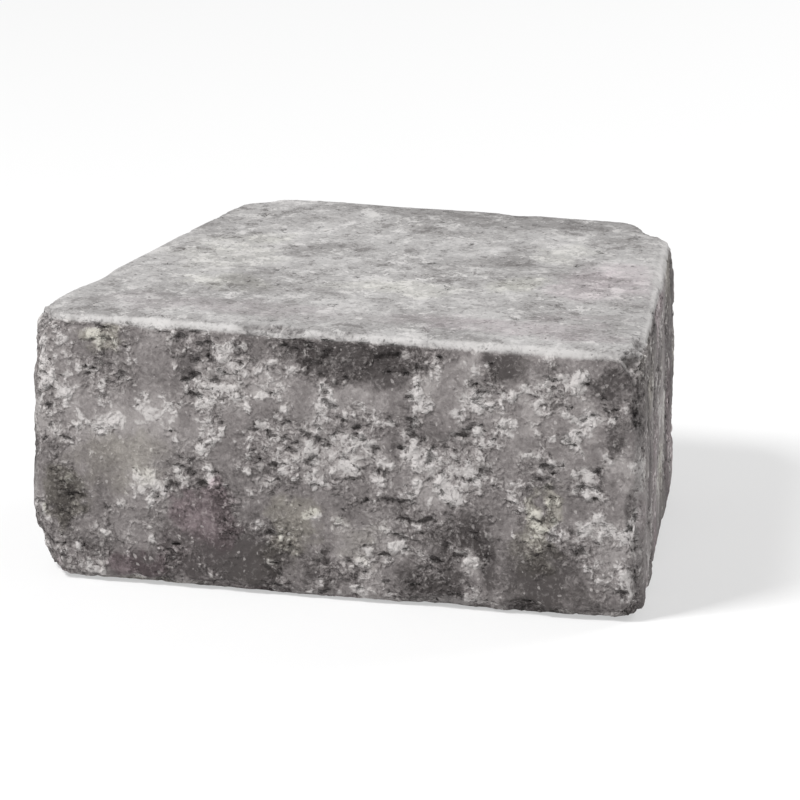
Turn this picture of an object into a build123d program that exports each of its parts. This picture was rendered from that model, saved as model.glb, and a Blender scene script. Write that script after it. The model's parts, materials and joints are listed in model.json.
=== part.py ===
from build123d import *
import os

# Tumbled concrete wall block, wedge-shaped in plan and laid dry.
# Millimetres. The origin is under the middle of the block, on its bed face.
# The wide face looks along -Y and the narrow face along +Y. Courses stack along +Z.

# Block as it leaves the mould
FRONT_WIDTH = 288.0
BACK_WIDTH = 204.0
DEPTH = 226.0
HEIGHT = 125.0

# Edges as the tumbling drum leaves them: upright corners wear rounder than the arrises
ARRIS_RADIUS = 6.0
FRONT_CORNER_EXTRA = 1.5
BACK_CORNER_EXTRA = 5.0

# Spalled corners: shallow hollows, each bite measured in from the sharp corner
SPALL_RADIUS = 80.0
DEEP_SPALL = 14.5
MIDDLE_SPALL = 12.0
SLIGHT_SPALL = 9.5

# Nicked arrises: small hollows, each bite measured in from the sharp arris
LONG_NICK_RADIUS = 85.0
SHORT_NICK_RADIUS = 28.0
TOP_NICK_BITE = 3.6
BED_NICK_BITE = 4.8
UPRIGHT_NICK_BITE = 5.6
FRONT_TOP_NICK_FROM_MIDDLE = 84.0
FRONT_BED_NICK_FROM_MIDDLE = 52.0
BACK_TOP_NICK_FROM_MIDDLE = 30.0
BACK_BED_NICK_FROM_MIDDLE = 44.0
LEFT_TOP_NICK_FROM_FRONT = 74.0
RIGHT_TOP_NICK_FROM_FRONT = 128.0
LEFT_BED_NICK_FROM_FRONT = 140.0
RIGHT_BED_NICK_FROM_FRONT = 92.0
FRONT_LEFT_NICK_HEIGHT = 84.0
BACK_RIGHT_NICK_HEIGHT = 52.0

front_y = -DEPTH / 2
back_y = DEPTH / 2
front_x = FRONT_WIDTH / 2
back_x = BACK_WIDTH / 2
top_z = HEIGHT
bed_z = 0.0
front_corner_radius = ARRIS_RADIUS + FRONT_CORNER_EXTRA
back_corner_radius = ARRIS_RADIUS + BACK_CORNER_EXTRA


def side_point(side, from_front, z):
    """Point of the sharp arris of a slanting side: side -1 is the left one and +1 the right one."""
    half_width = front_x + (back_x - front_x) * from_front / DEPTH
    return side * half_width, front_y + from_front, z


def ball_centre(edge_point, way_out, radius, bite):
    """Centre of a ball that reaches `bite` below a point of a sharp edge or corner."""
    return Vector(edge_point) + Vector(way_out).normalized() * (radius - bite)


# Each corner's sharp point, its way out of the block, and how much of it is gone
corners = [
    ((-front_x, front_y, bed_z), (-2.6, -1.8, -1.0), DEEP_SPALL),
    ((front_x, front_y, bed_z), (1.4, -1.0, -1.2), SLIGHT_SPALL),
    ((-front_x, front_y, top_z), (-1.2, -1.0, 1.0), SLIGHT_SPALL),
    ((front_x, front_y, top_z), (1.0, -1.3, 1.0), SLIGHT_SPALL),
    ((-back_x, back_y, bed_z), (-1.0, 1.6, -1.2), DEEP_SPALL),
    ((back_x, back_y, bed_z), (1.0, 1.0, -1.5), MIDDLE_SPALL),
    ((-back_x, back_y, top_z), (-1.3, 1.0, 1.0), MIDDLE_SPALL),
    ((back_x, back_y, top_z), (1.8, 1.0, 1.8), DEEP_SPALL),
]

# Each nick's point on the sharp arris, its way out of the block, the ball that it follows, and its bite
nicks = [
    ((-FRONT_TOP_NICK_FROM_MIDDLE, front_y, top_z), (0, -1, 1), SHORT_NICK_RADIUS, TOP_NICK_BITE),
    ((-BACK_TOP_NICK_FROM_MIDDLE, back_y, top_z), (0, 1, 1), LONG_NICK_RADIUS, TOP_NICK_BITE),
    (side_point(-1, LEFT_TOP_NICK_FROM_FRONT, top_z), (-1, 0, 1), LONG_NICK_RADIUS, TOP_NICK_BITE),
    (side_point(1, RIGHT_TOP_NICK_FROM_FRONT, top_z), (1, 0, 1), SHORT_NICK_RADIUS, TOP_NICK_BITE),
    ((FRONT_BED_NICK_FROM_MIDDLE, front_y, bed_z), (0, -1, -1), LONG_NICK_RADIUS, BED_NICK_BITE),
    ((BACK_BED_NICK_FROM_MIDDLE, back_y, bed_z), (0, 1, -1), SHORT_NICK_RADIUS, BED_NICK_BITE),
    (side_point(-1, LEFT_BED_NICK_FROM_FRONT, bed_z), (-1, 0, -1), SHORT_NICK_RADIUS, BED_NICK_BITE),
    (side_point(1, RIGHT_BED_NICK_FROM_FRONT, bed_z), (1, 0, -1), LONG_NICK_RADIUS, BED_NICK_BITE),
    ((-front_x, front_y, FRONT_LEFT_NICK_HEIGHT), (-1, -1, 0), SHORT_NICK_RADIUS, UPRIGHT_NICK_BITE),
    ((back_x, back_y, BACK_RIGHT_NICK_HEIGHT), (1, 1, 0), SHORT_NICK_RADIUS, UPRIGHT_NICK_BITE),
]

with BuildPart() as wall_block:
    with BuildSketch() as plan:
        with BuildLine():
            Polyline(
                (-front_x, front_y),
                (front_x, front_y),
                (back_x, back_y),
                (-back_x, back_y),
                close=True,
            )
        make_face()
        fillet(plan.vertices().group_by(Axis.Y)[0], front_corner_radius)
        fillet(plan.vertices().group_by(Axis.Y)[-1], back_corner_radius)
    extrude(amount=HEIGHT)
    fillet(wall_block.edges().group_by(Axis.Z)[-1], ARRIS_RADIUS)
    fillet(wall_block.edges().group_by(Axis.Z)[0], ARRIS_RADIUS)
    with Locations([ball_centre(at, way_out, SPALL_RADIUS, bite) for at, way_out, bite in corners]):
        Sphere(SPALL_RADIUS, mode=Mode.SUBTRACT)
    for at, way_out, radius, bite in nicks:
        with Locations(ball_centre(at, way_out, radius, bite)):
            Sphere(radius, mode=Mode.SUBTRACT)

wall_block.part.label = "wall_block"
os.makedirs("parts", exist_ok=True)
export_step(wall_block.part, "parts/wall_block.step")
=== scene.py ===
import json
import math
import random

import bpy
import numpy as np
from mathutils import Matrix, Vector, kdtree, noise
from mathutils.bvhtree import BVHTree


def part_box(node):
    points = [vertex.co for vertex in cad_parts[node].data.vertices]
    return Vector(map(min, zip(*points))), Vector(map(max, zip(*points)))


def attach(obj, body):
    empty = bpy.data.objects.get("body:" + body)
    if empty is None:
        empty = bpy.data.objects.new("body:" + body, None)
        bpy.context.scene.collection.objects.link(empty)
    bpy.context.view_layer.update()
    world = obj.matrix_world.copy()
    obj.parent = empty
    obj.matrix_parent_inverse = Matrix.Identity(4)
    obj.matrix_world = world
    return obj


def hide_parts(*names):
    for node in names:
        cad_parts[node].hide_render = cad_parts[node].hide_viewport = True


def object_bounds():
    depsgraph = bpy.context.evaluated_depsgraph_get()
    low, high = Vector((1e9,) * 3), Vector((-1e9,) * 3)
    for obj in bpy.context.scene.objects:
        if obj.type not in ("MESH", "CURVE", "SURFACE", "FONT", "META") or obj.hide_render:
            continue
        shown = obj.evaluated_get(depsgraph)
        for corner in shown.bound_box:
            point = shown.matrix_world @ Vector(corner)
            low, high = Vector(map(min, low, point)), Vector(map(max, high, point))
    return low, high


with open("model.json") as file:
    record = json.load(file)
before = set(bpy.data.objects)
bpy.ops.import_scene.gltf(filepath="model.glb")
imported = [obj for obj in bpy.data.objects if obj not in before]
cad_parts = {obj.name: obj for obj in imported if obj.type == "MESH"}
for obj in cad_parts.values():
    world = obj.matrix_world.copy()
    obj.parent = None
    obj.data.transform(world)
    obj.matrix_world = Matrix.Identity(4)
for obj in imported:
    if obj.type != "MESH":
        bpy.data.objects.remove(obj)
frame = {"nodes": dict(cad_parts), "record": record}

# Tumbled concrete wall block, dressed over its CAD solid.
# Metres, in the CAD frame: the wide face looks along -Y, the bed face lies on the floor at z = 0.
# Everything is cut inwards from the CAD surface, so the block keeps its size.

MM = 0.001
ACROSS = 0
BACK = 1
UP = 2
cad_low, cad_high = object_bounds()
chance = random.Random(41)
mounts = {mount["name"]: mount for mount in frame["record"]["mounts"]}

# Camera: where the block is seen from, and how much of the picture it fills
AZIMUTH = math.radians(15.4)
ELEVATION = math.radians(16.0)
CAMERA_DISTANCE = 4.3
VIEW_WIDTH = 0.365
SENSOR_WIDTH = 36.0
NEAREST_SEEN = 0.1
FARTHEST_SEEN = 100.0

# Studio: a floor that glows a little to the camera, white surroundings,
# and two soft boxes that look at the block
FLOOR_REACH = 14.0
FLOOR_GREY = (0.8, 0.8, 0.8, 1)
FLOOR_GLOW = 0.5
WHITE = (1, 1, 1, 1)
SURROUNDINGS_STRENGTH = 0.32
LAMP_AIM = (0, 0, 0.06)
KEY_PLACE = (-1.0, -1.3, 2.3)
KEY_WIDTH = 0.7
KEY_POWER = 84.0
BACK_LIGHT_PLACE = (1.3, 1.5, 1.3)
BACK_LIGHT_WIDTH = 1.0
BACK_LIGHT_POWER = 26.0

# Mesh: the size of its faces as first laid out, the most triangles that are kept,
# and the room between the islands of its map
VOXEL = 1.25 * MM
MOST_TRIANGLES = 196_000
MAP_GAP = 10 * MM

# What counts as part of a face: the cosines of the turn away from it
# where that begins and where it is full
FRONT_TURNS = (0.5, 0.85)
TOP_TURNS = (0.45, 0.85)
BED_TURNS = (0.55, 0.9)

# What counts as an edge: the cosines of the turn away from the nearest face
# where that is full and where it ends
EDGE_TURNS = (0.80, 0.97)
ARRIS_TURNS = (0.88, 0.985)

# Wear along the edges: small hollows, the bite measured in from the sharp edge
CHIP_SPACING = 6.5 * MM
CHIP_RADII = (4.0 * MM, 32.0 * MM)
USUAL_CHIP_RADIUS = 8.0 * MM
TOP_CHIP_BITES = (1.4 * MM, 3.2 * MM)
BED_CHIP_BITES = (1.4 * MM, 4.0 * MM)
UPRIGHT_CHIP_BITES = (2.2 * MM, 5.2 * MM)
CHIP_JITTER = 0.4
CHIP_MARGIN = 4 * MM
CHIPPED_DEPTHS = (0.2 * MM, 1.5 * MM)
SPALL_REACH = 34 * MM
SPALL_CORE = 0.6

# How many times the rims, the borders of the broken corners and those of the rubbed arrises, with their
# painted highlight, are softened
RIM_ROUNDS = 10
SPALL_ROUNDS = 30
RUB_AND_HIGHLIGHT_ROUNDS = 8

# Rubbed arrises, pale partly from wear and partly from a painted highlight that is kept strongest
# where they face up: the share that is left on edges that look down, the upward slopes over which
# it grows to all of it, and the shares that are lost on broken corners and in chips
RUB_AND_HIGHLIGHT_LEAST = 0.35
RUB_AND_HIGHLIGHT_SLOPES = (-0.1, 0.5)
RUB_AND_HIGHLIGHT_LOST_BROKEN = 0.75
RUB_AND_HIGHLIGHT_LOST_CHIPPED = 0.3

# Relief, in sizes along the surface and depths into it, and the shares of it that closed grain
# and the top face keep
SWELL_SIZE = 75 * MM
SWELL_DEPTH = 0.9 * MM
CRUMB_SIZE = 11.0 * MM
CRUMB_DEPTH = 3.2 * MM
STONE_SIZE = 5.6 * MM
STONE_DEPTH = 0.9 * MM
GRIT_SIZE = 2.7 * MM
GRIT_DEPTH = 0.6 * MM
SAND_SIZE = 1.7 * MM
SAND_DEPTH = 0.5 * MM
DUST_SIZE = 0.8 * MM
DUST_DEPTH = 0.25 * MM
TEAR_SIZE = 8.0 * MM
TEAR_FLATNESS = 1.9
TEAR_DEPTH = 1.6 * MM
BREAK_SIZE = 13.0 * MM
BREAK_DEPTH = 3.4 * MM
CLOSED_SHARE = 0.22
TOP_SHARE = 0.14

# Grain: sizes and reaches of the stirs that make its outlines uneven, the size of its open patches,
# how much a listed patch opens it, and the levels where open grain and tears begin
# and where they are full
STIRS = ((7.0 * MM, 3.0 * MM), (2.2 * MM, 1.6 * MM))
OPEN_PATCH_SIZE = 22 * MM
OPEN_BY_HAND = 0.14
OPEN_LEVELS = (0.40, 0.62)
TEAR_LEVELS = (0.57, 0.72)

# Finish: sizes of its clouds, streaks, tints, flecks and dots along the surface
CLOUD_SIZE = 58 * MM
DRAG_SIZE = 6 * MM
DRAG_STRETCH = 0.14
TINT_SIZE = 9 * MM
SKIN_CLOUD_SIZE = 28 * MM
FLECK_SIZE = 8 * MM
DOT_SIZE = 3.4 * MM
RUB_AND_HIGHLIGHT_PATCH_SIZE = 30 * MM
OTHER_CLOUD_SIZE = 34 * MM
OTHER_TINT_SIZE = 40 * MM

# Finish: how much a listed patch darkens it
DARK_BY_HAND = 0.22

# Finish: the levels where each layer begins and where it is full; the pits' levels are for painted shade,
# and the rubbed arrises' levels for a pale band that is partly a painted highlight
MID_TONES = (0.26, 0.50)
PALE_TONES = (0.45, 0.70)
STONE_TONES = (0.20, 0.90)
BLOOM_HEIGHTS = (0.465, 0.575)
SAND_LEVELS = (0.54, 0.72)
SKIN_LEVELS = (0.32, 0.66)
FLECK_LEVELS = (0.54, 0.63)
PIT_SHADE_LEVELS = (0.57, 0.66)
RUBBED_AND_HIGHLIT_LEVELS = (0.15, 0.9)

# Finish: how much each layer covers at most; the covers of the top's pits, the dark sand, the pinholes, the
# hollows and the tears are painted shade, and that of the rubbed arrises is partly a painted highlight
STONE_COVER = 0.55
GRIT_COVER = 0.45
BLOOM_COVER = 0.85
SKIN_COVER = 0.9
FLECK_COVER = 0.85
PIT_SHADE_COVER = 0.75
RUBBED_AND_HIGHLIT_COVER = 0.85
PALE_SAND_COVER = 0.32
SAND_SHADE_COVER = 0.46
PALE_DOT_COVER = 0.45
PINHOLE_SHADE_COVER = 0.5
HOLLOW_SHADE_COVER = 0.55
TEAR_SHADE_COVER = 0.6

# Finish: how matt it is where the grain is closed, how much more where it is open,
# and how strong its sheen is
CLOSED_ROUGHNESS = 0.82
OPEN_ROUGHNESS_MORE = 0.14
SHEEN = 0.3

# Patches of the wide face, in millimetres: place across from the middle and up from the bed,
# half width, half height, then how dark (below 0 pale), how open in grain (below 0 closed)
# and how earthy in tint (below 0 plum) it is.
FRONT_PATCHES = [
    (-139, 88, 8, 32, -0.8, 0.9, 0.0),
    (-127, 121, 9, 6, 0.7, 0.3, 0.4),
    (-106, 117, 8, 8, -0.5, 0.4, 1.0),
    (-96, 97, 4, 16, 0.5, -0.4, 0.0),
    (-84, 99, 9, 13, 0.4, -0.9, 0.0),
    (-66, 113, 14, 7, 0.7, 0.0, 0.0),
    (-45, 101, 23, 15, -0.9, 0.8, 0.0),
    (10, 113, 30, 11, 1.0, 0.1, 0.0),
    (5, 96, 5, 4, -1.3, 0.0, 0.0),
    (20, 94, 12, 8, 0.1, -0.9, 0.0),
    (31, 85, 5, 12, 0.6, 0.2, 0.0),
    (-90, 77, 14, 5, -0.7, 0.3, 0.0),
    (-100, 57, 26, 15, 0.0, -1.0, 0.6),
    (-126, 38, 12, 9, 0.5, 0.0, 1.0),
    (-12, 66, 28, 14, -0.7, 1.0, 0.0),
    (12, 70, 14, 9, -0.7, 0.9, 0.0),
    (-61, 36, 15, 13, 0.2, -0.3, -1.0),
    (-92, 10, 11, 8, 0.3, 0.0, -1.0),
    (-66, 15, 30, 12, 0.8, -0.5, -0.3),
    (-32, 18, 18, 13, 0.7, 0.1, 0.4),
    (-18, 34, 13, 13, -0.3, -0.4, 1.0),
    (13, 31, 13, 13, -0.5, 0.2, 0.4),
    (-1, 13, 11, 8, 0.9, 0.2, 0.0),
    (64, 114, 10, 6, -1.0, 0.4, 0.0),
    (45, 104, 6, 9, -0.8, 0.3, 0.0),
    (63, 95, 12, 8, -0.7, 0.7, 0.0),
    (84, 115, 17, 10, 1.1, -0.3, 0.2),
    (89, 95, 5, 7, -1.1, 0.2, 0.0),
    (102, 86, 8, 18, 0.1, -1.1, 0.0),
    (116, 93, 6, 18, -1.1, 0.6, 0.0),
    (128, 110, 7, 7, 0.7, 0.2, 0.0),
    (130, 86, 5, 10, 0.6, 0.2, 0.0),
    (133, 73, 6, 7, -1.2, 0.3, 0.0),
    (51, 66, 24, 18, -0.8, 0.9, 0.0),
    (113, 62, 12, 9, -0.9, 0.7, 0.0),
    (97, 47, 6, 10, -0.6, 0.3, 1.0),
    (93, 32, 11, 10, 0.7, 0.1, 0.8),
    (58, 34, 22, 13, 1.0, 0.3, 0.0),
    (45, 14, 16, 10, 0.8, -0.2, 0.0),
    (66, 22, 8, 6, -1.2, 0.4, 0.0),
    (94, 13, 28, 13, 0.7, -0.5, 0.2),
    (125, 39, 13, 10, -0.8, 0.5, 0.0),
]

# Patches of the top face, in the same way but with the place back from the middle instead of up
TOP_PATCHES = [
    (30, 100, 80, 15, 0.9, 0.0, 0.0),
    (-81, 8, 26, 36, -0.4, 1.0, 0.3),
    (-68, 38, 12, 12, -0.7, 0.6, 0.2),
    (-31, 75, 22, 14, -0.4, 0.7, 0.0),
    (66, 45, 15, 20, -0.8, 0.6, 0.3),
    (6, -33, 38, 13, -0.6, 1.0, 0.4),
    (58, -15, 14, 16, 0.0, 0.6, 0.5),
    (-33, 27, 18, 6, 0.6, 0.0, 0.0),
    (39, 21, 13, 8, 0.6, 0.3, 0.0),
    (80, 7, 18, 6, 0.7, 0.3, 0.0),
    (98, -61, 26, 6, 0.6, 0.0, -0.3),
    (96, 0, 24, 36, -0.4, -0.3, -0.5),
    (-67, -42, 24, 14, 0.2, 0.2, 0.4),
    (-60, -82, 60, 16, 0.2, -0.8, -0.3),
    (70, -84, 60, 16, 0.2, -0.8, -0.4),
]

# How far the outlines of the patches sway, in millimetres, and the sizes of the sways
WIDE_SWAY = 9
WIDE_SWAY_SIZE = 18 * MM
SMALL_SWAY = 5
SMALL_SWAY_SIZE = 5 * MM

# Random clouds: how far apart two seeds lie
SEED_STEP = (3.71, 7.13, 5.37)


# Ground work

def rise(values, low, high):
    """0 below low, 1 above high, and smooth between them."""
    share = np.clip((values - low) / (high - low), 0.0, 1.0)
    return share * share * (3.0 - 2.0 * share)


def cloud(points, size, octaves, seed):
    """Soft random values round 0 over the points. `size` is how wide a patch usually is."""
    start = np.array(SEED_STEP) * seed
    scaled = points / size + start
    return np.array([noise.fractal(Vector(place), 1.0, 2.0, octaves) for place in scaled.tolist()])


def swayed(points, axis, seed):
    """Places along an axis in millimetres, shifted at random, so that outlines drawn there get uneven."""
    wide = WIDE_SWAY * cloud(points, WIDE_SWAY_SIZE, 4, seed)
    small = SMALL_SWAY * cloud(points, SMALL_SWAY_SIZE, 2, seed + 2)
    return points[:, axis] / MM + wide + small


def patches(points, axis, table):
    """Listed patches on a face, their outlines made uneven. They lie along X and another axis.
    Each row of the table ends in three strengths, and each strength is summed by itself."""
    across = swayed(points, ACROSS, 11)
    along = swayed(points, axis, 12)
    totals = 0.0
    for x, other, half_width, half_height, *strengths in table:
        apart = ((across - x) / half_width) ** 2 + ((along - other) / half_height) ** 2
        totals = totals + np.outer(strengths, np.exp(-apart ** 3))
    return totals


# Nodes

class Wire:
    """An output socket that can be used in sums. Each sum adds a Math node to its tree."""

    def __init__(self, nodes, socket):
        self.nodes = nodes
        self.socket = socket

    def maths(self, operation, first, second):
        """The outcome of a Math node over two wires or numbers."""
        return self.nodes.node("ShaderNodeMath", {"operation": operation}, {0: first, 1: second})

    def __add__(self, other):
        return self.maths("ADD", self, other)

    def __radd__(self, other):
        return self.maths("ADD", other, self)

    def __sub__(self, other):
        return self.maths("SUBTRACT", self, other)

    def __rsub__(self, other):
        return self.maths("SUBTRACT", other, self)

    def __mul__(self, other):
        return self.maths("MULTIPLY", self, other)

    def __rmul__(self, other):
        return self.maths("MULTIPLY", other, self)


class Nodes:
    """A node tree under way, and the one way in which nodes are added to it."""

    def __init__(self, tree):
        self.tree = tree

    def node(self, kind, settings, sockets, output=0):
        """Adds a node, sets it, fills its sockets with values or wires, and gives one of its outputs."""
        made = self.tree.nodes.new(kind)
        for name, value in settings.items():
            setattr(made, name, value)
        for name, value in sockets.items():
            if isinstance(value, Wire):
                self.tree.links.new(value.socket, made.inputs[name])
            else:
                made.inputs[name].default_value = value
        return Wire(self, made.outputs[output]) if made.outputs else made

    def band(self, value, low, high):
        """0 below low, 1 above high, and smooth between them."""
        sockets = {"Value": value, "From Min": low, "From Max": high}
        return self.node("ShaderNodeMapRange", {"interpolation_type": "SMOOTHSTEP"}, sockets)

    def noise(self, place, size, detail=2.0, roughness=0.5, output="Fac"):
        """Soft random values from 0 to 1 in patches of about that size, or random colours."""
        sockets = {"Vector": place, "Scale": 1 / size, "Detail": detail, "Roughness": roughness}
        return self.node("ShaderNodeTexNoise", {}, sockets, output)

    def grains(self, place, size, output="Distance"):
        """Cells of about that size: the distance from each one's middle, or its own random colour."""
        return self.node("ShaderNodeTexVoronoi", {}, {"Vector": place, "Scale": 1 / size}, output)

    def first(self, colour):
        """One number of a random colour."""
        return self.node("ShaderNodeSeparateXYZ", {}, {0: colour}, "X")

    def second(self, colour):
        """Another number of a random colour."""
        return self.node("ShaderNodeSeparateXYZ", {}, {0: colour}, "Y")

    def vectors(self, operation, first, second):
        """Two vectors added, or multiplied axis by axis."""
        return self.node("ShaderNodeVectorMath", {"operation": operation}, {0: first, 1: second})


class Finish(Nodes):
    """A material under way."""

    def __init__(self, name):
        self.material = bpy.data.materials.new(name)
        self.material.use_nodes = True
        super().__init__(self.material.node_tree)
        self.tree.nodes.clear()

    def kept(self, name):
        """A number stored on the mesh's points."""
        return self.node("ShaderNodeAttribute", {"attribute_name": name}, {}, "Fac")

    def place(self):
        """Where a point lay before the relief was cut."""
        return self.node("ShaderNodeAttribute", {"attribute_name": "laid"}, {}, "Vector")

    def mix(self, share, first, second, way="MIX"):
        """One colour turning into another, or taking on its tint."""
        settings = {"data_type": "RGBA", "blend_type": way}
        return self.node("ShaderNodeMix", settings, {0: share, 6: first, 7: second}, 2)


class Relief(Nodes):
    """Geometry nodes that cut the relief into the block's mesh."""

    def __init__(self, name):
        super().__init__(bpy.data.node_groups.new(name, "GeometryNodeTree"))
        for way in ("INPUT", "OUTPUT"):
            self.tree.interface.new_socket("Geometry", in_out=way, socket_type="NodeSocketGeometry")

    def kept(self, name):
        """A number stored on the mesh's points."""
        return self.node("GeometryNodeInputNamedAttribute", {"data_type": "FLOAT"}, {"Name": name})

    def place(self):
        """Where a point lay before the relief was cut."""
        return self.arrow("laid")

    def arrow(self, name):
        """A vector stored on the mesh's points."""
        settings = {"data_type": "FLOAT_VECTOR"}
        return self.node("GeometryNodeInputNamedAttribute", settings, {"Name": name})

    def push(self, inward):
        """Moves each point into the block by that much."""
        geometry = self.node("NodeGroupInput", {}, {})
        sockets = {0: self.arrow("out"), "Scale": 0 - inward}
        offset = self.node("ShaderNodeVectorMath", {"operation": "SCALE"}, sockets)
        moved = self.node("GeometryNodeSetPosition", {}, {"Geometry": geometry, "Offset": offset})
        self.node("NodeGroupOutput", {}, {0: moved})


# Concrete's make-up, the same for the relief and for the finish

class Grain:
    """What the concrete is like at a point. Heights and shares run from 0 to 1."""

    def __init__(self, nodes):
        self.nodes = nodes
        self.place = nodes.place()
        self.top = nodes.kept("top_share")
        self.bed = nodes.kept("bed_share")
        self.fresh = nodes.kept("fresh")
        self.rubbed_and_highlit = nodes.kept("rubbed_and_highlit")
        self.side = 1 - self.top - self.bed
        self.uneven = self.place
        for size, reach in STIRS:
            self.uneven = self.stirred(self.uneven, size, reach)

        patch = nodes.noise(self.place, OPEN_PATCH_SIZE, 4.0, 0.6)
        self.bitty = nodes.band(patch + OPEN_BY_HAND * nodes.kept("opened"), *OPEN_LEVELS)
        opening = self.side * self.bitty + 0.35 * self.bed + 0.25 * self.top * self.bitty
        self.open = nodes.band(opening + 0.8 * self.fresh * (1 - 0.4 * self.top), 0.0, 1.0)
        closed = CLOSED_SHARE - (CLOSED_SHARE - TOP_SHARE) * self.top
        self.rough = (closed + (1 - CLOSED_SHARE) * self.open) * (1 - 0.4 * self.rubbed_and_highlit)

        self.crumb = nodes.noise(self.uneven, CRUMB_SIZE, 4.0, 0.6)
        self.stone, self.stone_tone = self.stones(STONE_SIZE, 0.40)
        self.grit, self.grit_tone = self.stones(GRIT_SIZE, 0.25)

        level = nodes.vectors("MULTIPLY", self.uneven, (1.0, 1.0, TEAR_FLATNESS))
        tear = nodes.noise(level, TEAR_SIZE, 4.0, 0.62) + 0.12 * (self.open - 0.6)
        self.tear = nodes.band(tear, *TEAR_LEVELS) * (1 - 0.6 * self.rubbed_and_highlit)

    def stirred(self, place, size, reach):
        """The place shifted at random, so that what is drawn there gets uneven outlines."""
        nodes = self.nodes
        shift = nodes.noise(place, size, 1.0, 0.5, "Color")
        shift = nodes.vectors("SUBTRACT", shift, (0.5, 0.5, 0.5))
        shift = nodes.vectors("MULTIPLY", shift, (reach, reach, reach))
        return nodes.vectors("ADD", place, shift)

    def stones(self, size, bare):
        """Stones of all widths up to that size: 1 on top of each, and each one's own grey.
        The share `bare` of the places holds none."""
        nodes = self.nodes
        far = nodes.grains(self.uneven, size)
        lot = nodes.grains(self.uneven, size, "Color")
        width = nodes.band(nodes.first(lot), bare, 1.0)
        return 1 - nodes.band(far, 0.10 * width, 0.20 + 0.55 * width), nodes.second(lot)

    def lumps(self):
        """How far the lumps of the open grain stand out, in metres."""
        return CRUMB_DEPTH * self.crumb + STONE_DEPTH * self.stone + GRIT_DEPTH * self.grit


def cut_relief():
    """The relief that the mesh can hold: swells, broken corners, lumps of the open grain, and tears."""
    relief = Relief("relief")
    grain = Grain(relief)
    swell = relief.band(relief.noise(grain.place, SWELL_SIZE, 1.0), 0.3, 0.7) * (1 - 0.5 * grain.top)
    most = 0.68 * CRUMB_DEPTH + 0.8 * STONE_DEPTH + 0.5 * GRIT_DEPTH
    sunk = relief.node("ShaderNodeMath", {"operation": "MAXIMUM"}, {0: most - grain.lumps(), 1: 0.0})
    broken = relief.band(relief.noise(grain.uneven, BREAK_SIZE, 3.0, 0.6), 0.3, 0.7)
    slow = SWELL_DEPTH * swell + BREAK_DEPTH * broken * relief.kept("spalled")
    relief.push(slow + grain.rough * sunk + TEAR_DEPTH * grain.tear)
    return relief.tree


# Block's mesh

def fine_mesh(node):
    """Copy of a CAD node's mesh in small even faces, with its points on the CAD surface."""
    coarse = bpy.data.objects.new("coarse_block", node.data.copy())
    bpy.context.scene.collection.objects.link(coarse)
    remesh = coarse.modifiers.new("remesh", "REMESH")
    remesh.mode = "VOXEL"
    remesh.voxel_size = VOXEL
    depsgraph = bpy.context.evaluated_depsgraph_get()
    mesh = bpy.data.meshes.new_from_object(coarse.evaluated_get(depsgraph))
    bpy.data.objects.remove(coarse)
    surface = BVHTree.FromPolygons(
        [point.co for point in node.data.vertices],
        [face.vertices for face in node.data.polygons],
    )
    for point in mesh.vertices:
        point.co = surface.find_nearest(point.co)[0]
    mesh.shade_smooth()
    return mesh


def points_of(mesh):
    """The mesh's points as an array."""
    flat = np.empty(len(mesh.vertices) * 3)
    mesh.vertices.foreach_get("co", flat)
    return flat.reshape(-1, 3)


def place_points(mesh, points):
    """Moves the mesh's points."""
    mesh.vertices.foreach_set("co", points.ravel())
    mesh.update()


def softened(mesh, values, rounds):
    """A table with one row for each point of the mesh, each row drawn towards its neighbours' rows."""
    ends = np.empty(len(mesh.edges) * 2, np.int32)
    mesh.edges.foreach_get("vertices", ends)
    first, second = ends.reshape(-1, 2).T
    neighbours = np.bincount(ends, minlength=len(values))[:, None]
    for _ in range(rounds):
        total = np.zeros_like(values)
        np.add.at(total, first, values[second])
        np.add.at(total, second, values[first])
        values = (values + total / neighbours) / 2
    return values


def normals_of(mesh):
    """The mesh's outward directions at its points, as an array."""
    flat = np.empty(len(mesh.vertices) * 3, np.float32)
    mesh.vertex_normals.foreach_get("vector", flat)
    return flat.reshape(-1, 3).astype(float)


def side_half_width(y):
    """Half the block's width at a distance along Y, on the joint faces that the record gives."""
    at = mounts["right_joint_face"]["pos_m"]
    out = mounts["right_joint_face"]["axis"]
    return at[0] - out[1] / out[0] * (y - at[1])


def face_planes():
    """The block's six faces, two to a row of the map: way out, and the ways across and up on the face."""
    up = Vector((0, 0, 1))
    front = Vector((0, -1, 0))
    left = Vector(mounts["left_joint_face"]["axis"])
    right = Vector(mounts["right_joint_face"]["axis"])
    sides = [[(way, up.cross(way), up) for way in row] for row in ((front, left), (-front, right))]
    across = Vector((1, 0, 0))
    return [[(up, across, -front), (-up, across, front)]] + sides


def edges():
    """The block's twelve sharp edges: both ends of each, the way out of the block, and the bites there."""
    low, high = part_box("wall_block")
    ring = [(low.y, -1, -1), (low.y, 1, -1), (high.y, 1, 1), (high.y, -1, 1)]
    corners = [(side * side_half_width(y), y, side, front) for y, side, front in ring]
    found = []
    for number, (x, y, side, front) in enumerate(corners):
        next_x, next_y, next_side, next_front = corners[(number + 1) % 4]
        level = Vector((side + next_side, front + next_front, 0)).normalized()
        for z, up, bites in ((low.z, -1, BED_CHIP_BITES), (high.z, 1, TOP_CHIP_BITES)):
            out = (level + Vector((0, 0, up))).normalized()
            found.append((Vector((x, y, z)), Vector((next_x, next_y, z)), out, bites))
        out = Vector((side, front, 0)).normalized()
        found.append((Vector((x, y, low.z)), Vector((x, y, high.z)), out, UPRIGHT_CHIP_BITES))
    return found


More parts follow.
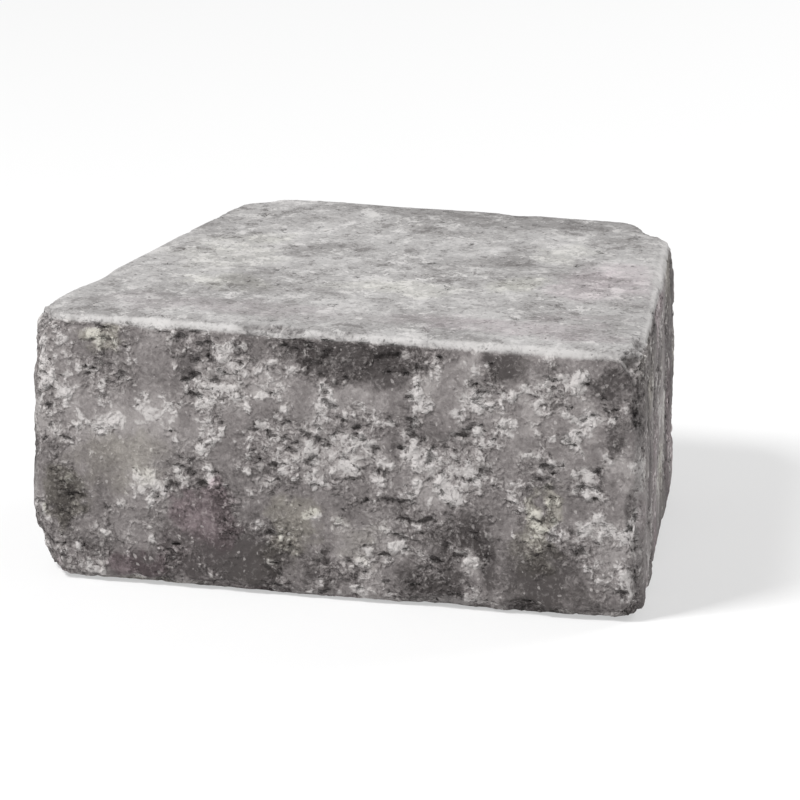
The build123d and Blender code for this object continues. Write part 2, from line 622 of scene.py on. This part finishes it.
def chip_balls():
    """Balls that knock small hollows out of the edges: their centres and radii."""
    balls = []
    for start, end, out, bites in edges():
        for _ in range(round((end - start).length / CHIP_SPACING)):
            radius = chance.triangular(*CHIP_RADII, USUAL_CHIP_RADIUS)
            bite = chance.uniform(*bites)
            spread = Vector([chance.uniform(-CHIP_JITTER, CHIP_JITTER) for _ in range(3)])
            way = (out + spread).normalized()
            at = start.lerp(end, chance.random())
            balls.append((at + way * (radius - bite), radius))
    return balls


def carve(points, balls):
    """Cuts the balls out of the surface: a point inside one goes out to its shell."""
    tree = kdtree.KDTree(len(points))
    for index, place in enumerate(points.tolist()):
        tree.insert(place, index)
    tree.balance()
    carved = points.copy()
    for centre, radius in balls:
        middle = np.array(centre)
        near = [index for _, index, _ in tree.find_range(centre, radius + CHIP_MARGIN)]
        if not near:
            continue
        away = carved[near] - middle
        far = np.linalg.norm(away, axis=1, keepdims=True)
        carved[near] = middle + away * np.maximum(1.0, radius / far)
    return carved


def off_the_faces(out, turns):
    """1 where the surface turns away from all six faces, as on the rounded edges and corners."""
    ways = np.array([way for row in face_planes() for way, _, _ in row])
    return 1 - rise((out @ ways.T).max(axis=1), *turns)


def near_corners(points):
    """1 within reach of a sharp corner, where pieces of the block have spalled off."""
    corners = np.array([start for start, _, _, _ in edges()])
    far = np.linalg.norm(points[:, None] - corners[None], axis=2).min(axis=1)
    return 1 - rise(far, SPALL_CORE * SPALL_REACH, SPALL_REACH)


def keep(mesh, name, values):
    """Stores one number or vector a point, for the relief and the finish to read."""
    if values.ndim == 1:
        layer, slot = mesh.attributes.new(name, "FLOAT", "POINT"), "value"
    else:
        layer, slot = mesh.attributes.new(name, "FLOAT_VECTOR", "POINT"), "vector"
    layer.data.foreach_set(slot, values.astype(np.float32).ravel())


def kept_arrows(mesh, name):
    """The vectors stored on the mesh's points, as an array."""
    flat = np.empty(len(mesh.vertices) * 3, np.float32)
    mesh.attributes[name].data.foreach_get("vector", flat)
    return flat.reshape(-1, 3).astype(float)


def keep_patches(mesh, flat, front, top):
    """Stores how dark, open and earthy the points are: listed for the front and the top,
    and random elsewhere."""
    front_dark, front_open, front_earthy = front * patches(flat, UP, FRONT_PATCHES)
    top_dark, top_open, top_earthy = top * patches(flat, BACK, TOP_PATCHES)
    other = np.maximum(1 - front - top, 0.0)
    keep(mesh, "dark", front_dark + top_dark + other * cloud(flat, OTHER_CLOUD_SIZE, 6, 21))
    keep(mesh, "opened", front_open + top_open)
    keep(mesh, "earthy", front_earthy + top_earthy + other * cloud(flat, OTHER_TINT_SIZE, 2, 31))


def worn_mesh():
    """The block with its worn edges, ready for the relief."""
    mesh = fine_mesh(frame["nodes"]["wall_block"])
    flat = softened(mesh, points_of(mesh), RIM_ROUNDS)
    place_points(mesh, flat)
    out = normals_of(mesh)
    front = rise(-out[:, BACK], *FRONT_TURNS)
    top = rise(out[:, UP], *TOP_TURNS)
    edge = off_the_faces(out, EDGE_TURNS)
    arris = off_the_faces(out, ARRIS_TURNS)
    spalled = softened(mesh, (edge * near_corners(flat))[:, None], SPALL_ROUNDS)[:, 0]
    worn = carve(flat, chip_balls())
    chipped = rise(np.linalg.norm(worn - flat, axis=1), *CHIPPED_DEPTHS)
    # Partly a painted highlight: the pale rubbed band is kept strongest on arrises that face up towards the
    # light
    rub_and_highlight_upward = RUB_AND_HIGHLIGHT_LEAST + (1 - RUB_AND_HIGHLIGHT_LEAST) * rise(out[:, UP], *RUB_AND_HIGHLIGHT_SLOPES)
    rubbed_and_highlit = arris * rub_and_highlight_upward * (1 - RUB_AND_HIGHLIGHT_LOST_BROKEN * spalled) * (1 - RUB_AND_HIGHLIGHT_LOST_CHIPPED * chipped)
    place_points(mesh, worn)
    keep(mesh, "laid", flat)
    keep(mesh, "out", out)
    keep(mesh, "top_share", top)
    keep(mesh, "bed_share", rise(-out[:, UP], *BED_TURNS))
    keep(mesh, "spalled", spalled)
    keep(mesh, "fresh", np.maximum(chipped, spalled))
    keep(mesh, "rubbed_and_highlit", softened(mesh, rubbed_and_highlit[:, None], RUB_AND_HIGHLIGHT_ROUNDS)[:, 0])
    keep_patches(mesh, flat, front, top)
    return mesh


def lay_out_map(mesh):
    """A flat map for baking, with one island for each face of the block."""
    starts = np.empty(len(mesh.polygons), np.int32)
    totals = np.empty(len(mesh.polygons), np.int32)
    corners = np.empty(len(mesh.loops), np.int32)
    mesh.polygons.foreach_get("loop_start", starts)
    mesh.polygons.foreach_get("loop_total", totals)
    mesh.loops.foreach_get("vertex_index", corners)
    laid = kept_arrows(mesh, "laid")[corners]
    rows = face_planes()
    ways = np.array([way for row in rows for way, _, _ in row])
    looks = np.add.reduceat(kept_arrows(mesh, "out")[corners], starts) @ ways.T
    island = np.repeat(looks.argmax(axis=1), totals)

    flat = np.zeros((len(corners), 2))
    bottom = MAP_GAP
    for number, row in enumerate(rows):
        left = MAP_GAP
        for place, (_, across, up) in enumerate(row):
            mine = island == 2 * number + place
            spot = np.stack([laid[mine] @ np.array(across), laid[mine] @ np.array(up)], axis=1)
            flat[mine] = spot - spot.min(axis=0) + (left, bottom)
            left = flat[mine, 0].max() + MAP_GAP
        bottom = flat[:, 1].max() + MAP_GAP
    layer = mesh.uv_layers.new(name="OFBake")
    layer.data.foreach_set("uv", (flat / (flat.max() + MAP_GAP)).astype(np.float32).ravel())


def tumbled_mesh():
    """The finished mesh: worn edges and relief, thinned where it is flat."""
    rough = bpy.data.objects.new("rough_block", worn_mesh())
    bpy.context.scene.collection.objects.link(rough)
    rough.modifiers.new("relief", "NODES").node_group = cut_relief()
    triangles = sum(len(face.vertices) - 2 for face in rough.data.polygons)
    thin = rough.modifiers.new("thin", "DECIMATE")
    thin.ratio = min(1.0, MOST_TRIANGLES / triangles)
    depsgraph = bpy.context.evaluated_depsgraph_get()
    mesh = bpy.data.meshes.new_from_object(
        rough.evaluated_get(depsgraph), preserve_all_data_layers=True, depsgraph=depsgraph
    )
    bpy.data.objects.remove(rough)
    place_points(mesh, np.clip(points_of(mesh), np.array(cad_low), np.array(cad_high)))
    mesh.shade_smooth()
    mesh.name = "tumbled_block"
    lay_out_map(mesh)
    return mesh


# Concrete's colours
PALE_PASTE = (0.30, 0.278, 0.272, 1)
MID_PASTE = (0.195, 0.177, 0.174, 1)
DARK_PASTE = (0.075, 0.066, 0.065, 1)
BLOOM = (0.54, 0.515, 0.505, 1)
PALE_STONE = (0.55, 0.52, 0.505, 1)
DARK_STONE = (0.11, 0.10, 0.098, 1)
TOP_SKIN = (0.41, 0.402, 0.398, 1)
TOP_SHADE = (0.27, 0.262, 0.258, 1)
TOP_FLECK = (0.55, 0.538, 0.530, 1)
# Painted shade of small pits on the top
TOP_PIT_SHADE = (0.14, 0.133, 0.130, 1)
# Pale rubbed arrises, partly wear and partly a painted highlight
RUBBED_AND_HIGHLIT = (0.53, 0.516, 0.508, 1)
EARTH_TINT = (0.99, 1.0, 0.91, 1)
PLUM_TINT = (1.0, 0.89, 0.945, 1)
# Near-black painted shade, for the hollows, tears, pinholes and the low spots between sand grains
GAP_SHADE = (0.035, 0.030, 0.029, 1)


class Concrete(Finish):
    """Dry-cast concrete: cloudy grey paste, stones, pale flecks, painted shade in gaps and hollows, a paler
    skin on top and pale rubbed arrises that are partly a painted highlight.
    """

    def __init__(self):
        super().__init__("tumbled_concrete")
        self.grain = Grain(self)
        place = self.grain.place
        self.sand = self.noise(self.grain.uneven, SAND_SIZE, 2.0, 0.6)
        self.dust = self.noise(place, DUST_SIZE, 2.0, 0.6)
        self.speckle = 0.6 * (self.sand - 0.5) + 0.4 * (self.dust - 0.5)
        drawn_down = self.vectors("MULTIPLY", self.grain.uneven, (1.0, 1.0, DRAG_STRETCH))
        drag = self.grain.side * (self.noise(drawn_down, DRAG_SIZE, 3.0, 0.6) - 0.5)
        cloudy = self.noise(place, CLOUD_SIZE, 6.0, 0.66)
        self.tone = cloudy - DARK_BY_HAND * self.kept("dark") + 0.20 * drag
        lumps = 0.8 * self.grain.crumb + 0.14 * self.grain.stone + 0.08 * self.grain.grit
        clouds = 0.55 * (self.tone - 0.5) + 0.10 * drag - 0.05 * (1 - self.grain.open)
        self.high = lumps + 0.25 * self.speckle + clouds

    def paste(self):
        """Grey paste, dark, middling or pale. Its clouds break up into grains where they meet."""
        grainy = 0.45 + 0.65 * self.grain.open
        tone = self.tone + grainy * (0.9 * self.speckle + 0.35 * (self.grain.crumb - 0.5))
        paste = self.mix(self.band(tone, *MID_TONES), DARK_PASTE, MID_PASTE)
        return self.mix(self.band(tone, *PALE_TONES), paste, PALE_PASTE)

    def tinted(self, colour):
        """Faint earthy and plum tints over a colour."""
        earthy = self.kept("earthy") + 0.5 * (self.noise(self.grain.place, TINT_SIZE, 3.0, 0.6) - 0.5)
        colour = self.mix(self.band(earthy, 0.0, 1.0), colour, EARTH_TINT, "MULTIPLY")
        return self.mix(self.band(0 - earthy, 0.0, 1.0), colour, PLUM_TINT, "MULTIPLY")

    def stones(self, colour, height, tone, share):
        """Stones on a colour, each its own grey."""
        own = self.mix(self.band(tone + 0.5 * (self.tone - 0.5), *STONE_TONES), DARK_STONE, PALE_STONE)
        return self.mix(share * self.band(height, 0.2, 0.7), colour, own)

    def salted(self, colour):
        """Sand on a colour: a few grains pale, and painted shade in a few low spots between them, most of
        them where the grain is open.
        """
        share = 0.5 + 0.6 * self.grain.open
        colour = self.mix(PALE_SAND_COVER * share * self.band(self.sand, *SAND_LEVELS), colour, PALE_STONE)
        # Painted shade: dark specks where the sand's relief is low
        return self.mix(SAND_SHADE_COVER * share * self.band(1 - self.sand, *SAND_LEVELS), colour, GAP_SHADE)

    def dotted(self, colour):
        """Pinholes, painted as dark shade, and bare grains of sand on a colour, small and crisp, also where
        the grain is closed.
        """
        far = self.grains(self.grain.uneven, DOT_SIZE)
        lot = self.grains(self.grain.uneven, DOT_SIZE, "Color")
        dot = self.band(0.34 * self.first(lot) - 0.06 - far, 0.0, 0.07)
        pale = self.band(self.second(lot), 0.48, 0.52)
        colour = self.mix(PALE_DOT_COVER * dot * pale, colour, PALE_STONE)
        # Painted shade: pinholes that exist only as colour, drawn near-black
        return self.mix(PINHOLE_SHADE_COVER * dot * (1 - pale), colour, GAP_SHADE)

    def top_skin(self):
        """Pale skin of the top face, with flecks and with small pits that are painted shade, most of them
        where it is bitty.
        """
        bits = 0.5 + 0.5 * self.grain.bitty
        skin = self.noise(self.grain.place, SKIN_CLOUD_SIZE, 6.0, 0.68) - DARK_BY_HAND * self.kept("dark")
        colour = self.mix(self.band(skin + 0.3 * self.speckle, *SKIN_LEVELS), TOP_SHADE, TOP_SKIN)
        fleck = self.noise(self.grain.uneven, FLECK_SIZE, 3.0, 0.62) + 0.5 * self.speckle
        fleck = fleck + 0.35 * (skin - 0.5)
        colour = self.mix(FLECK_COVER * bits * self.band(fleck, *FLECK_LEVELS), colour, TOP_FLECK)
        # Painted shade: dark pits that exist only as colour
        return self.mix(PIT_SHADE_COVER * bits * self.band(1 - fleck, *PIT_SHADE_LEVELS), colour, TOP_PIT_SHADE)

    def colour(self):
        """All layers: paste, stones, pale high spots, the top's skin, tints, rubbed arrises partly painted
        as a highlight, sand and dots with painted shade in the dark ones, and painted shade in hollows and
        tears."""
        grain = self.grain
        colour = self.stones(self.paste(), grain.stone, grain.stone_tone, STONE_COVER * grain.open)
        colour = self.stones(colour, grain.grit, grain.grit_tone, GRIT_COVER * grain.open)
        colour = self.mix(BLOOM_COVER * self.band(self.high, *BLOOM_HEIGHTS), colour, BLOOM)
        colour = self.mix(SKIN_COVER * grain.top * (1 - 0.5 * grain.fresh), colour, self.top_skin())
        colour = self.tinted(colour)
        # Pale band on the arrises: partly wear, partly a painted highlight where they face up
        patchy = self.noise(grain.place, RUB_AND_HIGHLIGHT_PATCH_SIZE, 3.0, 0.6) + grain.crumb - 1.0
        rubbing_and_highlight = grain.rubbed_and_highlit * (1.0 + 0.7 * patchy + 0.8 * self.speckle)
        colour = self.mix(RUBBED_AND_HIGHLIT_COVER * self.band(rubbing_and_highlight, *RUBBED_AND_HIGHLIT_LEVELS), colour, RUBBED_AND_HIGHLIT)
        colour = self.dotted(self.salted(colour))
        # Painted shade: the low spots of the relief's height are darkened, standing in for the shade that
        # collects in them
        low = self.band(0.48 - self.high, 0.0, 0.25) * grain.rough
        colour = self.mix(HOLLOW_SHADE_COVER * low, colour, GAP_SHADE)
        # Painted shade: the tears, cut into the relief, are also darkened towards near-black
        return self.mix(TEAR_SHADE_COVER * grain.tear, colour, GAP_SHADE)

    def normal(self):
        """The fine relief: lumps and tears over again, sharper than in the mesh, with sand and dust."""
        grain = self.grain
        fine = (DUST_DEPTH * self.dust + SAND_DEPTH * self.sand) * (0.4 + 0.6 * grain.rough)
        height = fine + 0.8 * grain.rough * grain.lumps() - TEAR_DEPTH * grain.tear
        return self.node("ShaderNodeBump", {}, {"Strength": 1.0, "Distance": 1.0, "Height": height})

    def finished(self):
        """The material, with its shader in place."""
        shader = self.node("ShaderNodeBsdfPrincipled", {}, {
            "Base Color": self.colour(),
            "Roughness": CLOSED_ROUGHNESS + OPEN_ROUGHNESS_MORE * self.grain.open,
            "Normal": self.normal(),
            "Specular IOR Level": SHEEN,
        })
        self.node("ShaderNodeOutputMaterial", {}, {"Surface": shader})
        return self.material


def pale_floor():
    """White floor that keeps the block's shadow and shows paler to the camera than its light makes it."""
    finish = Finish("pale_floor")
    seen = finish.node("ShaderNodeLightPath", {}, {}, "Is Camera Ray")
    glossy = finish.node("ShaderNodeLightPath", {}, {}, "Is Glossy Ray")
    through = finish.node("ShaderNodeLightPath", {}, {}, "Is Transmission Ray")
    lit = finish.node("ShaderNodeBsdfDiffuse", {}, {"Color": FLOOR_GREY})
    white = finish.node("ShaderNodeEmission", {}, {"Color": WHITE, "Strength": 1.0})
    share = FLOOR_GLOW * (seen + glossy + through)
    shader = finish.node("ShaderNodeMixShader", {}, {0: share, 1: lit, 2: white})
    finish.node("ShaderNodeOutputMaterial", {}, {"Surface": shader})
    return finish.material


# Pieces

def tumbled_block():
    """The block itself, in place of its CAD solid."""
    mesh = tumbled_mesh()
    mesh.materials.clear()
    mesh.materials.append(Concrete().finished())
    block = bpy.data.objects.new("tumbled_block", mesh)
    bpy.context.scene.collection.objects.link(block)
    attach(block, "root")
    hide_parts("wall_block")


def studio_floor():
    """A wide pale floor under the block."""
    corners = [(x * FLOOR_REACH, y * FLOOR_REACH, 0) for x, y in ((-1, -1), (1, -1), (1, 1), (-1, 1))]
    mesh = bpy.data.meshes.new("studio_floor")
    mesh.from_pydata(corners, [], [(0, 1, 2, 3)])
    mesh.materials.append(pale_floor())
    floor = bpy.data.objects.new("studio_floor", mesh)
    bpy.context.scene.collection.objects.link(floor)


def soft_lamp(name, place, width, power):
    """A square soft box at a place, looking at the block."""
    lamp = bpy.data.lights.new(name, "AREA")
    lamp.size = width
    lamp.energy = power
    holder = bpy.data.objects.new(name, lamp)
    holder.location = place
    holder.rotation_euler = (Vector(LAMP_AIM) - Vector(place)).to_track_quat("-Z", "Y").to_euler()
    holder.visible_camera = False
    bpy.context.scene.collection.objects.link(holder)


def studio_light():
    """Even white surroundings, a soft box above to the front and left, and a weak one behind."""
    world = bpy.data.worlds.new("studio")
    world.use_nodes = True
    background = world.node_tree.nodes["Background"]
    background.inputs["Color"].default_value = WHITE
    background.inputs["Strength"].default_value = SURROUNDINGS_STRENGTH
    bpy.context.scene.world = world
    soft_lamp("key", KEY_PLACE, KEY_WIDTH, KEY_POWER)
    soft_lamp("back_light", BACK_LIGHT_PLACE, BACK_LIGHT_WIDTH, BACK_LIGHT_POWER)


def camera():
    """The photograph's viewing angle on the block, from the right of the wide face and a little above."""
    centre = (cad_low + cad_high) / 2
    level = math.cos(ELEVATION)
    back = Vector((math.sin(AZIMUTH) * level, -math.cos(AZIMUTH) * level, math.sin(ELEVATION)))
    lens = bpy.data.cameras.new("camera")
    lens.sensor_width = SENSOR_WIDTH
    lens.lens = SENSOR_WIDTH * CAMERA_DISTANCE / VIEW_WIDTH
    lens.clip_start = NEAREST_SEEN
    lens.clip_end = FARTHEST_SEEN
    holder = bpy.data.objects.new("camera", lens)
    holder.location = centre + back * CAMERA_DISTANCE
    holder.rotation_euler = (-back).to_track_quat("-Z", "Y").to_euler()
    bpy.context.scene.collection.objects.link(holder)
    bpy.context.scene.camera = holder


camera()
tumbled_block()
studio_floor()
studio_light()
bpy.context.scene.view_settings.view_transform = "Standard"
